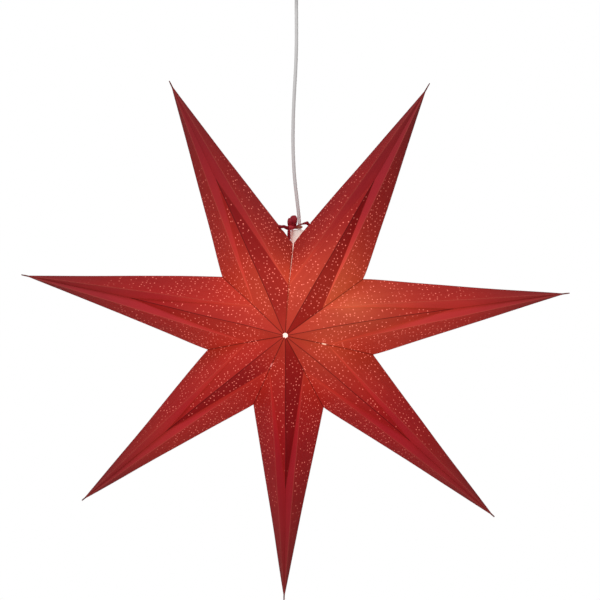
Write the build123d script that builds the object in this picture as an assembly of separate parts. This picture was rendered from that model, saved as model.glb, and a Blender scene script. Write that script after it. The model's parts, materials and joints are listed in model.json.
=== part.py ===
from build123d import *
import math
import os

import numpy as np

# A folded paper star lantern with seven arms, hung by a ribbon tie on its lamp cord under a ceiling
# fitting. Origin: centre of the fitting's ceiling face. +X right, +Y to the back of the star, +Z up.
# All sizes are in millimetres and all angles in degrees.

os.makedirs("parts", exist_ok=True)

# Star: radii and depths of the crease points, from the star's centre, in its own upright frame
star_drop = 520.0            # ceiling face down to the star's centre
tip_radius = 350.0           # where an arm's folded edges run together
tail_length = 10.0           # pinched paper tail beyond the tip
notch_radius = 111.0         # silhouette corner between two arms
top_notch_radius = 108.0     # the same at the untied, slightly sprung top seam
shoulder_radius = 53.0       # front end of the side panels, on the seam
shoulder_depth = 54.0
top_shoulder_radius = 59.0
pit_radius = 212.0           # where an arm's middle ridge turns into a groove
pit_depth = 15.5
hub_depth = 89.0
hub_hole_radius = 3.3
paper = 0.7
flap_width = 8.0             # glue flaps along the seams
seam_gap = 1.4               # width of the open top seam at its notch
tail_width = 2.4
tail_end_width = 1.2
tail_root = 16.0             # the tail starts this far inside the arm's tip

# Bearing of each arm, clockwise from straight up, and its reach as a share of the full radius
top_half_angle = 27.85
second_angle = 80.7
third_angle = 131.2
reach_shares = {"upper_left": 0.985}
pit_shares = {"upper_right": 1.033, "upper_left": 1.016, "bottom": 0.984}

# The star hangs from a tie behind its middle plane, so its face leans down, and a little aside
lean_angle = 5.0
roll_angle = 1.9
star_x = -6.8
star_y = -1.6

# Axis of the lamp holder and of the cord's lower end
holder_x = 3.9
holder_y = 7.0
holder_opening_gap = 4.0     # room round the holder in the two top arms

# Cord, and the clearances round it
cord_diameter = 4.5
snug = 0.05
clearance = 0.15
soft_clearance = 0.3
core_diameter = 2.0          # each of the cord's two insulated wires
core_spread = 1.15           # the two wires' distance from the cord's axis
sheath_above_floor = 16.0    # the cord's sheath ends this far above the cup's floor
core_loop = 20.0             # how far forward the wires swing before they enter the block

# Strap on the ceiling
strap_width = 22.0
strap_thickness = 2.0
strap_ear_gap = 1.0          # from an ear's end to where the cup starts to taper
slot_spacing = 56.0
slot_length = 12.0
slot_width = 5.0

# Cup round the strap
cup_radius = 46.0
cup_floor_radius = 34.0
cup_height = 62.0
cup_wall = 1.5
cup_corner = 9.0
cup_rim = 16.0               # the cup's straight part
cup_screw_radius = 2.0
cup_screw_drop = 9.0
cup_screw_head_radius = 3.6
cup_screw_head = 2.2

# Cord gland in the cup's floor, with a bell mouth
gland_radius = 5.0
gland_stem = 12.0
gland_flange_radius = 8.5
gland_flange = 2.5
gland_nose_radius = 6.8
gland_tip_radius = 5.4
gland_nose = 15.0
bell_radius = 4.3
bell_length = 4.0
bend_drop = 1.2              # the cord bends this far below the bell's throat
nut_across_flats = 15.0
nut_height = 4.0
grip_screw_radius = 1.5
grip_screw_head_radius = 2.7
grip_screw_head = 1.8
grip_screw_drop = 5.0

# Terminal block under the strap
block_length = 24.0
block_width = 17.0
block_height = 14.0
block_pitch = 11.0
block_bore_drop = 7.0
block_screw_radius = 1.5
block_screw_head_radius = 2.4
block_screw_head = 1.6
block_screw_place = 4.0
terminal_screw_radius = 1.6
terminal_spacing = 9.0
screw_groove = 0.6           # width and depth of the screwdriver's groove

# Lamp holder: cap, skirt, core and contacts
tie_rise = 22.0              # middle of the tie above the top notch
cap_radius = 11.8
cap_height = 20.0
cap_corner = 3.2
cap_wall = 1.4
grip_wall = 1.8
grip_length = 7.0
cord_stub = 1.5              # cord below its grip
skirt_radius = 12.6
skirt_wall = 1.5
skirt_length = 42.0
skirt_neck = 6.0
skirt_neck_wall = 1.5
skirt_lip = 0.8
skirt_lip_height = 3.0
insert_height = 9.0
insert_bore_place = 4.4
insert_bore_depth = 6.0
shell_radius = 7.45          # brass sleeve for a 14 mm screw cap
shell_wall = 0.45
shell_length = 22.0
shell_flange_radius = 10.7
shell_screw_radius = 0.8
shell_screw_place = 9.2
shell_screw_length = 6.0
shell_screw_head_radius = 1.4
shell_screw_head = 1.0
contact_thick = 0.5
contact_width = 4.0
contact_reach = 5.4
contact_flat = 2.6
contact_rise = 3.2
rivet_place = 4.2
rivet_radius = 0.7
rivet_length = 2.5
rivet_head_radius = 1.1
rivet_head = 0.5

# Bulb: round, 45 mm, with a 14 mm screw cap
bulb_radius = 22.5
bulb_neck_radius = 8.4
bulb_neck = 6.0
bulb_neck_blend = 9.0
bulb_wall = 0.8
contact_button_radius = 2.4
contact_button = 1.3
insulator_height = 3.2
insulator_radius = 5.6
insulator_top_radius = 3.0
screw_cap_radius = 6.75
screw_cap_length = 16.0
screw_cap_wall = 0.4
screw_cap_collar = 4.0
stem_radius = 3.0
stem_base = 1.5
stem_length = 16.0
rod_radius = 0.7
rod_bar = 1.0
filament_radius = 0.9
filament_length = 20.0
filament_place = 6.0
filament_count = 4

# Ribbon tie
ribbon_width = 4.4
ribbon_thick = 1.2
ribbon_sag = 1.2             # the two ends leave the knot this far below its middle
knot_x = -6.67
knot_y = -3.0
knot_radius = 4.0
knot_length = 7.0
knot_edge = 1.4              # how far the knot's two ends are drawn in
bow_width = 11.6
bow_place = 1.4              # the bow stands this far right of the knot
bow_height = 12.0
bow_depth = 6.0
bow_corner = 4.0
bow_foot = 5.0
bow_thick = 1.0
loose_end_place = 3.4        # the loose end hangs this far left of the knot
loose_end_width = 3.6
loose_end_length = 15.0
slot_rise_left = 25.0        # tie slots, out from the notch along the folded edge
slot_rise_right = 32.0
tie_slot_height = 5.2
tie_slot_depth = 2.6
edge_knot = 4.6              # the ribbon's knots, across: outside the slot and inside it
stop_knot = 5.2
knot_corner_share = 0.28
stop_knot_place = 4.9

# Route of the hanging cord, from the bell mouth to the holder's cap, chosen along the cord's bends
cord_route = [
    (0.0, 0.0, -100.0),
    (0.3, 0.4, -144.0),
    (-0.5, 1.0, -178.0),
    (-2.7, 1.9, -213.0),
    (-4.4, 3.2, -250.0),
    (-4.8, 4.6, -287.0),
    (-3.0, 5.9, -324.0),
    (0.9, 6.8, -357.0),
]
entry_run = 18.0             # the cord's last run, straight down into the cap

# Corners of the wires' ways as shares: sideways to the pole, forward, and up or down
block_wire_shares = [(0, 0, 0.32), (1, 1, 0.62), (1, 1, 1)]
holder_wire_shares = [(0, 0.4), (1, 0.9)]
arc_share = 0.45             # of the shorter run that an arc takes up

overrun = 2.0                # how far cutting tools run past what they cut

cord_radius = cord_diameter / 2
core_radius = core_diameter / 2

# Heights that the pieces share
cup_floor = -cup_height
gland_tip = cup_floor - gland_flange - gland_nose
bell_throat = gland_tip + bell_length
cord_bend = bell_throat - bend_drop
sheath_end = cup_floor + sheath_above_floor
tie_middle = top_notch_radius + tie_rise - star_drop
cap_top = tie_middle - ribbon_width / 2 - soft_clearance
skirt_top = cap_top - cap_height
insert_bottom = skirt_top - insert_height
contact_low = insert_bottom - contact_thick - contact_rise
button_top = contact_low - snug
insulator_top = button_top - contact_button
screw_cap_top = insulator_top - insulator_height
collar_top = screw_cap_top - screw_cap_length
collar_bottom = collar_top - screw_cap_collar
neck_bottom = collar_bottom - bulb_neck
bulb_middle = neck_bottom - math.sqrt(bulb_radius ** 2 - bulb_neck_radius ** 2)

star_place = Location((star_x, star_y, -star_drop), (lean_angle, roll_angle, 0))


def at(radius, bearing, y):
    """A point of the upright star frame, by its radius and its bearing clockwise from straight up."""
    turn = math.radians(bearing)
    return Vector(radius * math.sin(turn), y, radius * math.cos(turn))


def in_room(point):
    """Where a point of the upright star frame hangs in the room."""
    return (star_place * Location(tuple(point))).position


def turned(outline, x=0, y=0):
    """A solid of revolution about an upright axis, from its outline in radius and height."""
    face = make_face(Polyline(*outline, close=True))
    return Pos(x, y, 0) * revolve(Plane.XZ * face, Axis.Z)


def ring(inner, outer, bottom, top, x=0, y=0):
    """An upright tube, or a disc where its inner radius is zero."""
    return turned([(inner, bottom), (outer, bottom), (outer, top), (inner, top)], x, y)


def pin(start, end, radius):
    """A round bar between two points."""
    start, end = Vector(*start), Vector(*end)
    return extrude(Plane(origin=start, z_dir=end - start) * Circle(radius), amount=(end - start).length)


def tube(points, radius, title):
    """A round tube along straight runs that smooth arcs join, with the tightest of its arcs printed."""
    points = [Vector(*point) for point in points]
    runs = [(b - a).length for a, b in zip(points, points[1:])]
    radii = []
    for index in range(1, len(points) - 1):
        before = points[index] - points[index - 1]
        after = points[index + 1] - points[index]
        turn = math.radians(before.get_angle(after))
        radii.append(arc_share * min(runs[index - 1], runs[index]) / math.tan(turn / 2))
    path = FilletPolyline(*points, radius=radii)
    start = Plane(origin=points[0], z_dir=points[1] - points[0])
    solid = sweep(start * Circle(radius), path=path)
    expected = math.pi * radius ** 2 * path.length
    print(f"{title}: length {path.length:.1f}, least arc radius {min(radii):.1f}, "
          f"volume against section times length {solid.volume / expected:.4f}")
    return solid


# Bearings of the arms, and of the seams between them, clockwise from straight up
arm_bearings = {
    "upper_right": top_half_angle,
    "right": second_angle,
    "lower_right": third_angle,
    "bottom": 180,
    "lower_left": 360 - third_angle,
    "left": 360 - second_angle,
    "upper_left": 360 - top_half_angle,
}
arm_names = list(arm_bearings)
inner_seams = [(a + b) / 2 for a, b in zip(list(arm_bearings.values()), list(arm_bearings.values())[1:])]
gap_angle = math.degrees(math.asin(seam_gap / 2 / top_notch_radius))
seam_bearings = [gap_angle] + inner_seams + [360 - gap_angle]
seam_shoulders = [top_shoulder_radius] + [shoulder_radius] * len(inner_seams) + [top_shoulder_radius]
seam_notches = [top_notch_radius] + [notch_radius] * len(inner_seams) + [top_notch_radius]


def closed_solid(panels):
    """A solid from its flat panels, each a list of corners."""
    faces = [Face(Wire.make_polygon(corners, close=True)) for corners in panels]
    return Solid(Shell(faces))


def outward(corners, inside):
    """Unit normal of a flat panel, on the side away from a point inside the arm."""
    first, second, third = corners
    normal = (second - first).cross(third - first).normalized()
    return normal if normal.dot(first - inside) > 0 else normal * -1


def inset_corner(corner, normals, depth):
    """The point that lies a given depth inside every panel that meets in a corner, as nearly as it can."""
    rows = np.array([tuple(normal) for normal in normals])
    shift = np.linalg.lstsq(rows, np.full(len(normals), -depth), rcond=None)[0]
    return corner + Vector(*shift)


def crease_pattern():
    """The panels of an arm by the names of their corners: front and back skins, and both seam sides."""
    front = [
        ("hub", "shoulder_a", "pit"),
        ("hub", "pit", "shoulder_b"),
        ("shoulder_a", "tip", "pit"),
        ("pit", "tip", "shoulder_b"),
        ("shoulder_a", "notch_a", "tip"),
        ("shoulder_b", "tip", "notch_b"),
    ]
    shared = ("tip", "notch_a", "notch_b")
    back = [tuple(key if key in shared else "back_" + key for key in panel) for panel in front]
    sides = []
    for end in ("_a", "_b"):
        sides.append(("hub", "shoulder" + end, "notch" + end))
        sides.append(("back_hub", "notch" + end, "back_shoulder" + end))
        sides.append(("hub", "notch" + end, "back_hub"))
    return front + back + sides


def crease_points(index):
    """The corners of an arm's panels, on its outer side."""
    bearing = arm_bearings[arm_names[index]]
    reach = reach_shares.get(arm_names[index], 1)
    pit = pit_radius * pit_shares.get(arm_names[index], 1)
    points = {"tip": at(tip_radius * reach, bearing, 0)}
    for side, seam in (("", 0), ("back_", 1)):
        depth_sign = 2 * seam - 1
        points[side + "hub"] = Vector(0, hub_depth * depth_sign, 0)
        points[side + "pit"] = at(pit, bearing, pit_depth * depth_sign)
        for end, number in (("_a", index), ("_b", index + 1)):
            shoulder = seam_shoulders[number]
            points[side + "shoulder" + end] = at(shoulder, seam_bearings[number], shoulder_depth * depth_sign)
            points["notch" + end] = at(seam_notches[number], seam_bearings[number], 0)
    return points


def seam_opening(number):
    """Cutter for the open middle that the glue flaps leave in a seam."""
    shoulder, notch = seam_shoulders[number], seam_notches[number]
    outline = [
        (0, -hub_depth), (shoulder, -shoulder_depth), (notch, 0), (shoulder, shoulder_depth),
        (0, hub_depth), (-shoulder, shoulder_depth), (-notch, 0), (-shoulder, -shoulder_depth),
    ]
    hole = offset(make_face(Polyline(*outline, close=True)), amount=-flap_width, kind=Kind.INTERSECTION)
    along = at(1, seam_bearings[number], 0)
    plane = Plane(origin=(0, 0, 0), x_dir=along, z_dir=along.cross(Vector(0, 1, 0)))
    return extrude(plane * hole, amount=flap_width / 2, both=True)


def tip_tail(bearing, reach):
    """Pinched sliver of paper that carries on past an arm's tip."""
    root = (tip_radius - tail_root) * reach
    end = (tip_radius + tail_length) * reach
    blade = make_face(Polyline(
        (root, -tail_width / 2), (end, -tail_end_width / 2), (end, tail_end_width / 2), (root, tail_width / 2),
        close=True,
    ))
    plane = Plane(origin=(0, 0, 0), x_dir=at(1, bearing, 0), z_dir=(0, -1, 0))
    return extrude(plane * blade, amount=paper, both=True)


def tie_slot_frame(side):
    """Point of a tie slot on an arm's folded edge, the way into the arm and the way along the edge."""
    rise = slot_rise_right if side == "right" else slot_rise_left
    name = "upper_" + side
    bearing = arm_bearings[name]
    notch = at(top_notch_radius, 0, 0)
    tip = at(tip_radius * reach_shares.get(name, 1), bearing, 0)
    along = (tip - notch).normalized()
    inward = along.cross(Vector(0, 1, 0))
    if inward.dot(at(1, bearing, 0) * shoulder_radius - notch) < 0:
        inward = inward * -1
    return notch + along * rise, inward, along


def tie_slot(side):
    """Cutter for the slot that the ribbon goes through at a top arm's folded edge."""
    point, inward, along = tie_slot_frame(side)
    plane = Plane(origin=point - inward * overrun, x_dir=along, z_dir=inward)
    gap = ribbon_thick + 2 * soft_clearance
    return extrude(plane * Rectangle(tie_slot_height, gap), amount=tie_slot_depth + overrun)


def folded_arm(name):
    """One hollow paper arm: creased skins front and back, glue flaps, pinched tail and hub corner."""
    index = arm_names.index(name)
    points = crease_points(index)
    pattern = crease_pattern()
    inside = at(shoulder_radius, arm_bearings[name], 0)
    inner = {}
    for key, corner in points.items():
        normals = [outward([points[k] for k in panel], inside) for panel in pattern if key in panel]
        inner[key] = inset_corner(corner, normals, paper)
    skin = closed_solid([[points[key] for key in panel] for panel in pattern])
    hollow = closed_solid([[inner[key] for key in panel] for panel in pattern])
    arm = skin - hollow - seam_opening(index) - seam_opening(index + 1)
    arm += tip_tail(arm_bearings[name], reach_shares.get(name, 1))
    hub_axis = Plane(origin=(0, -hub_depth - overrun, 0), z_dir=(0, 1, 0))
    arm -= extrude(hub_axis * Circle(hub_hole_radius), amount=2 * (hub_depth + overrun))
    if name.startswith("upper"):
        arm -= tie_slot(name.split("_")[1])
    arm = star_place * arm
    if name.startswith("upper"):
        passage = skirt_radius + holder_opening_gap
        arm -= ring(0, passage, bulb_middle, tie_middle, holder_x, holder_y)
    return arm


def ceiling_strap():
    """Steel strap with two slots for the ceiling's screws and an ear at each end for the cup."""
    reach = cup_radius - cup_wall - soft_clearance
    length = 2 * math.sqrt(reach ** 2 - (strap_width / 2) ** 2)
    strap = Pos(0, 0, -strap_thickness / 2) * Box(length, strap_width, strap_thickness)
    for side in (-1, 1):
        ear_length = cup_rim - strap_ear_gap
        ear = Pos(side * (length - strap_thickness) / 2, 0, -ear_length / 2)
        strap += ear * Box(strap_thickness, strap_width, ear_length)
        slot = extrude(SlotOverall(slot_length, slot_width), amount=2 * strap_thickness, both=True)
        strap -= Pos(side * slot_spacing / 2, 0, 0) * slot
        ear_end = side * length / 2
        hole = pin(
            (ear_end - side * 2 * strap_thickness, 0, -cup_screw_drop),
            (ear_end + side * overrun, 0, -cup_screw_drop), cup_screw_radius + snug,
        )
        strap -= hole
    screw = ring(0, block_screw_radius + snug, -strap_thickness - overrun, overrun, 0, block_screw_place)
    return strap - screw


def ceiling_cup():
    """Spun steel cup, open to the ceiling, with a hole for the gland and two for its side screws."""
    face = make_face(Polyline(
        (0, 0), (cup_radius, 0), (cup_radius, -cup_rim), (cup_floor_radius, cup_floor), (0, cup_floor),
        close=True,
    ))
    edge = face.vertices().sort_by(Axis.Y)
    face = fillet([edge[0], edge[1]][1 if edge[0].X < edge[1].X else 0], cup_corner)
    body = revolve(Plane.XZ * face, Axis.Z)
    cup = offset(body, amount=-cup_wall, openings=body.faces().sort_by(Axis.Z)[-1])
    cup -= ring(0, gland_radius + clearance, cup_floor - overrun, cup_floor + 2 * cup_wall)
    across = cup_radius + overrun
    return cup - pin((-across, 0, -cup_screw_drop), (across, 0, -cup_screw_drop), cup_screw_radius + clearance)


def cup_screws():
    """The two side screws that hold the cup on the strap's ears."""
    screws = []
    reach = cup_radius - cup_wall - soft_clearance
    ear_end = math.sqrt(reach ** 2 - (strap_width / 2) ** 2)
    for side in (-1, 1):
        height = -cup_screw_drop
        shank = pin((side * (ear_end - strap_thickness), 0, height), (side * cup_radius, 0, height), cup_screw_radius)
        head = pin(
            (side * cup_radius, 0, height), (side * (cup_radius + cup_screw_head), 0, height),
            cup_screw_head_radius,
        )
        screws.append(shank + head)
    return Compound(screws)


def gland_body():
    """Threaded cord gland with a flange under the cup and a bell mouth at its nose."""
    bore = cord_radius + snug
    flange_bottom = cup_floor - gland_flange
    body = turned([
        (bore, cup_floor + gland_stem), (gland_radius, cup_floor + gland_stem), (gland_radius, cup_floor),
        (gland_flange_radius, cup_floor), (gland_flange_radius, flange_bottom),
        (gland_nose_radius, flange_bottom), (gland_tip_radius, gland_tip), (bell_radius, gland_tip),
        (bore, bell_throat),
    ])
    height = flange_bottom - grip_screw_drop
    return body - pin((0, 0, height), (gland_flange_radius, 0, height), grip_screw_radius + snug)


def gland_nut():
    """Hexagon nut on the gland's stem, on the cup's floor."""
    seat = cup_floor + cup_wall
    hexagon = RegularPolygon(nut_across_flats / 2, 6, major_radius=False)
    hexagon -= Circle(gland_radius + snug)
    return Pos(0, 0, seat) * extrude(hexagon, amount=nut_height)


def gland_screw():
    """Side screw that grips the cord in the gland."""
    height = cup_floor - gland_flange - grip_screw_drop
    shank = pin((cord_radius + snug, 0, height), (gland_nose_radius, 0, height), grip_screw_radius)
    head = pin(
        (gland_nose_radius, 0, height), (gland_nose_radius + grip_screw_head, 0, height),
        grip_screw_head_radius,
    )
    return shank + head


block_top = -strap_thickness
block_bottom = block_top - block_height
block_bore = block_top - block_bore_drop


def terminal_block():
    """Two-pole terminal block with wire bores along Y and screw wells from below."""
    block = Pos(0, 0, (block_top + block_bottom) / 2) * Box(block_length, block_width, block_height)
    block = chamfer(block.edges().filter_by(Axis.Z), core_radius)
    bore_radius = core_radius + soft_clearance
    across = block_width / 2 + overrun
    for pole in (-block_pitch / 2, block_pitch / 2):
        block -= pin((pole, -across, block_bore), (pole, across, block_bore), bore_radius)
        for place in (-terminal_spacing / 2, terminal_spacing / 2):
            block -= ring(0, terminal_screw_radius + snug, block_bottom - overrun, block_bore, pole, place)
    block -= ring(0, block_screw_radius + snug, block_bottom - overrun, overrun, 0, block_screw_place)
    well = block_bottom + block_screw_head + snug
    return block - ring(0, block_screw_head_radius + snug, block_bottom - overrun, well, 0, block_screw_place)


def block_screw():
    """Screw that holds the terminal block on the strap."""
    well = block_bottom + block_screw_head
    shank = ring(0, block_screw_radius, well, -snug, 0, block_screw_place)
    return shank + ring(0, block_screw_head_radius, block_bottom, well, 0, block_screw_place)


def terminal_screws():
    """The four slotted screws that clamp the wires in the block."""
    screws = []
    for pole in (-block_pitch / 2, block_pitch / 2):
        for place in (-terminal_spacing / 2, terminal_spacing / 2):
            screw = ring(0, terminal_screw_radius, block_bottom, block_bore - core_radius - snug, pole, place)
            groove = Pos(pole, place, block_bottom) * Box(
                2 * terminal_screw_radius, screw_groove, 2 * screw_groove,
            )
            screws.append(screw - groove)
    return Compound(screws)


def wire_cores():
    """The cord's two wires inside the cup, from the sheath's end into the terminal block."""
    rise = block_bore - sheath_end
    wires = []
    for side in (-1, 1):
        way_out = block_pitch / 2 - core_spread
        points = [(side * core_spread, 0, sheath_end)]
        for out, forward, up in block_wire_shares:
            points.append((side * (core_spread + way_out * out), -core_loop * forward, sheath_end + rise * up))
        points.append((side * block_pitch / 2, 0, block_bore))
        wires.append(tube(points, core_radius, "wire core"))
    return Compound(wires)


def cord_tail():
    """The cord's sheathed end, held in the gland."""
    lower = cord_bend + cord_radius + soft_clearance
    return ring(0, cord_radius, lower, sheath_end)


def cord():
    """The hanging cord: a round end in the bell mouth, the free run, and its entry into the holder."""
    end = cap_top - cap_wall - grip_length - cord_stub
    entry = (holder_x, holder_y, cap_top + entry_run / 2)
    points = [(0, 0, cord_bend)] + cord_route + [entry, (holder_x, holder_y, end)]
    return tube(points, cord_radius, "cord") + Pos(0, 0, cord_bend) * Sphere(cord_radius)


def holder_cap():
    """Smooth round-shouldered cap of the lamp holder, with the cord's hole in its top."""
    outer = Pos(0, -cap_height / 2) * Rectangle(2 * cap_radius, cap_height)
    outer = fillet(outer.vertices().sort_by(Axis.Y)[2:], cap_corner)
    inner_width = 2 * (cap_radius - cap_wall)
    inner = Pos(0, -cap_wall - cap_height / 2) * Rectangle(inner_width, cap_height)
    inner = fillet(inner.vertices().sort_by(Axis.Y)[2:], cap_corner - cap_wall)
    section = outer - inner - Rectangle(2 * (cord_radius + soft_clearance), 3 * cap_wall)
    section &= Pos(cap_radius, 0) * Rectangle(2 * cap_radius, 3 * cap_height)
    return Pos(holder_x, holder_y, cap_top) * revolve(Plane.XZ * section, Axis.Z)


def cord_grip():
    """Clamping collar on the cord, under the cap's top."""
    top = cap_top - cap_wall
    return ring(cord_radius + snug, cord_radius + grip_wall, top - grip_length, top, holder_x, holder_y)


def holder_wires():
    """The two wires inside the cap, from the cord's end into the core's push-in holes."""
    start = cap_top - cap_wall - grip_length - cord_stub
    drop = start - skirt_top
    wires = []
    for side in (-1, 1):
        way_out = insert_bore_place - core_spread
        points = [(holder_x + side * core_spread, holder_y, start)]
        for out, down in holder_wire_shares:
            points.append((holder_x + side * (core_spread + way_out * out), holder_y, start - drop * down))
        points.append((holder_x + side * insert_bore_place, holder_y, skirt_top - insert_bore_depth / 2))
        wires.append(tube(points, core_radius, "holder wire"))
    return Compound(wires)


def holder_body():
    """Tubular skirt of the holder: a neck that goes into the cap, the barrel and a lip."""
    neck_outer = cap_radius - cap_wall - clearance
    neck_inner = neck_outer - skirt_neck_wall
    barrel_inner = skirt_radius - skirt_wall
    bottom = skirt_top - skirt_length
    lip = skirt_radius + skirt_lip
    return turned([
        (neck_inner, skirt_top + skirt_neck), (neck_outer, skirt_top + skirt_neck), (neck_outer, skirt_top),
        (skirt_radius, skirt_top), (skirt_radius, bottom + skirt_lip_height),
        (lip, bottom + skirt_lip_height - skirt_lip), (lip, bottom), (barrel_inner, bottom),
        (barrel_inner, skirt_top - skirt_wall), (neck_inner, skirt_top - skirt_wall),
    ], holder_x, holder_y)


insert_top = skirt_top - skirt_wall


def holder_insert():
    """Core of the holder, up against the skirt's step, with wire holes above and contacts below."""
    radius = skirt_radius - skirt_wall - clearance
    core = ring(0, radius, insert_bottom, insert_top, holder_x, holder_y)
    for side in (-1, 1):
        hole = ring(
            0, core_radius + snug, insert_top - insert_bore_depth, insert_top + overrun,
            holder_x + side * insert_bore_place, holder_y,
        )
        screw_hole = ring(
            0, shell_screw_radius + snug, insert_bottom - overrun, insert_bottom + shell_screw_length,
            holder_x, holder_y + side * shell_screw_place,
        )
        core = core - hole - screw_hole
    return core - ring(
        0, rivet_radius + snug, insert_bottom - overrun, insert_bottom + rivet_length,
        holder_x - rivet_place, holder_y,
    )


def thread_shell():
    """Brass sleeve that takes the bulb's screw cap, with its flange under the core."""
    inner = shell_radius - shell_wall
    bottom = insert_bottom - shell_length
    shell = turned([
        (inner, insert_bottom), (shell_flange_radius, insert_bottom),
        (shell_flange_radius, insert_bottom - shell_wall), (shell_radius, insert_bottom - shell_wall),
        (shell_radius, bottom), (inner, bottom),
    ], holder_x, holder_y)
    for side in (-1, 1):
        shell -= ring(
            0, shell_screw_radius + snug, insert_bottom - overrun, insert_bottom + overrun,
            holder_x, holder_y + side * shell_screw_place,
        )
    return shell


def shell_screws():
    """The two small screws that hold the sleeve's flange to the core."""
    screws = []
    seat = insert_bottom - shell_wall
    for side in (-1, 1):
        place = holder_y + side * shell_screw_place
        shank = ring(0, shell_screw_radius, seat, insert_bottom + shell_screw_length, holder_x, place)
        screws.append(shank + ring(0, shell_screw_head_radius, seat - shell_screw_head, seat, holder_x, place))
    return Compound(screws)


def centre_contact():
    """Springy brass tongue that presses on the bulb's contact button."""
    flat = insert_bottom - contact_thick / 2
    low = contact_low + contact_thick / 2
    line = Polyline(
        (-contact_reach, flat), (-contact_flat, flat), (0, low), (contact_flat, flat - contact_rise / 2),
    )
    strip = trace(line, contact_thick)
    tongue = extrude(Plane.XZ * strip, amount=contact_width / 2, both=True)
    tongue = Pos(holder_x, holder_y, 0) * tongue
    return tongue - ring(
        0, rivet_radius + snug, insert_bottom - overrun, insert_bottom + overrun,
        holder_x - rivet_place, holder_y,
    )


def contact_rivet():
    """Rivet that holds the tongue under the core."""
    seat = insert_bottom - contact_thick
    x = holder_x - rivet_place
    shank = ring(0, rivet_radius, seat, insert_bottom + rivet_length, x, holder_y)
    return shank + ring(0, rivet_head_radius, seat - rivet_head, seat, x, holder_y)


def bulb_tip():
    """Contact button in the middle of the bulb's cap."""
    button = ring(0, contact_button_radius, insulator_top, button_top, holder_x, holder_y)
    return chamfer(button.edges().group_by(Axis.Z)[-1], contact_button / 2)


def bulb_insulator():
    """Glass cone between the contact button and the screw cap."""
    return turned([
        (0, screw_cap_top), (insulator_radius, screw_cap_top), (insulator_top_radius, insulator_top),
        (0, insulator_top),
    ], holder_x, holder_y)


def bulb_cap():
    """Metal screw cap with a collar round the glass neck."""
    inner = screw_cap_radius - screw_cap_wall
    collar = bulb_neck_radius + clearance
    shoulder = collar_top + (collar - inner)
    return turned([
        (0, screw_cap_top), (insulator_radius, screw_cap_top), (screw_cap_radius, screw_cap_top - screw_cap_wall * 3),
        (screw_cap_radius, shoulder), (collar + screw_cap_wall, collar_top),
        (collar + screw_cap_wall, collar_bottom), (collar, collar_bottom), (collar, collar_top),
        (inner, shoulder), (inner, screw_cap_top - screw_cap_wall * 3), (0, screw_cap_top - screw_cap_wall * 3),
    ], holder_x, holder_y)


def bulb_form(inset, top):
    """Outer or inner form of the glass: a ball that blends into its neck."""
    ball = Pos(0, 0, bulb_middle) * Sphere(bulb_radius - inset)
    neck = ring(0, bulb_neck_radius - inset, bulb_middle, top)
    form = ball + neck
    joint = form.edges().filter_by(GeomType.CIRCLE).sort_by(Axis.Z)[-2]
    return fillet(joint, bulb_neck_blend + inset)


def bulb_glass():
    """Hollow glass bulb, open at its neck inside the cap's collar."""
    glass = bulb_form(0, collar_top - snug) - bulb_form(bulb_wall, collar_top + overrun)
    return Pos(holder_x, holder_y, 0) * glass


stem_top = collar_top - stem_base
stem_end = stem_top - stem_length


def bulb_stem():
    """Glass stem that closes the neck and carries the rod inside the bulb."""
    base_radius = bulb_neck_radius - bulb_wall - snug
    return turned([
        (0, collar_top - snug), (base_radius, collar_top - snug), (base_radius, stem_top), (stem_radius, stem_top),
        (rod_radius * 2, stem_end), (0, stem_end),
    ], holder_x, holder_y)


filament_top = stem_end - rod_bar


def filament_support():
    """Rod with a star of bars above and below the filaments."""
    rod_end = filament_top - filament_length - rod_bar
    support = ring(0, rod_radius, rod_end, stem_end, holder_x, holder_y)
    for bar_top in (stem_end, filament_top - filament_length):
        for number in range(filament_count // 2):
            bar = Box(2 * (filament_place + filament_radius), rod_bar, rod_bar)
            turn = Rot(0, 0, 360 * number / filament_count)
            support += Pos(holder_x, holder_y, bar_top - rod_bar / 2) * turn * bar
    return support


def filaments():
    """The glowing sticks, each between two bars of the support."""
    sticks = []
    for number in range(filament_count):
        turn = math.radians(360 * number / filament_count)
        x = holder_x + filament_place * math.cos(turn)
        y = holder_y + filament_place * math.sin(turn)
        sticks.append(ring(0, filament_radius, filament_top - filament_length, filament_top, x, y))
    return Compound(sticks)


knot = Vector(knot_x, knot_y, tie_middle)


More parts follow.
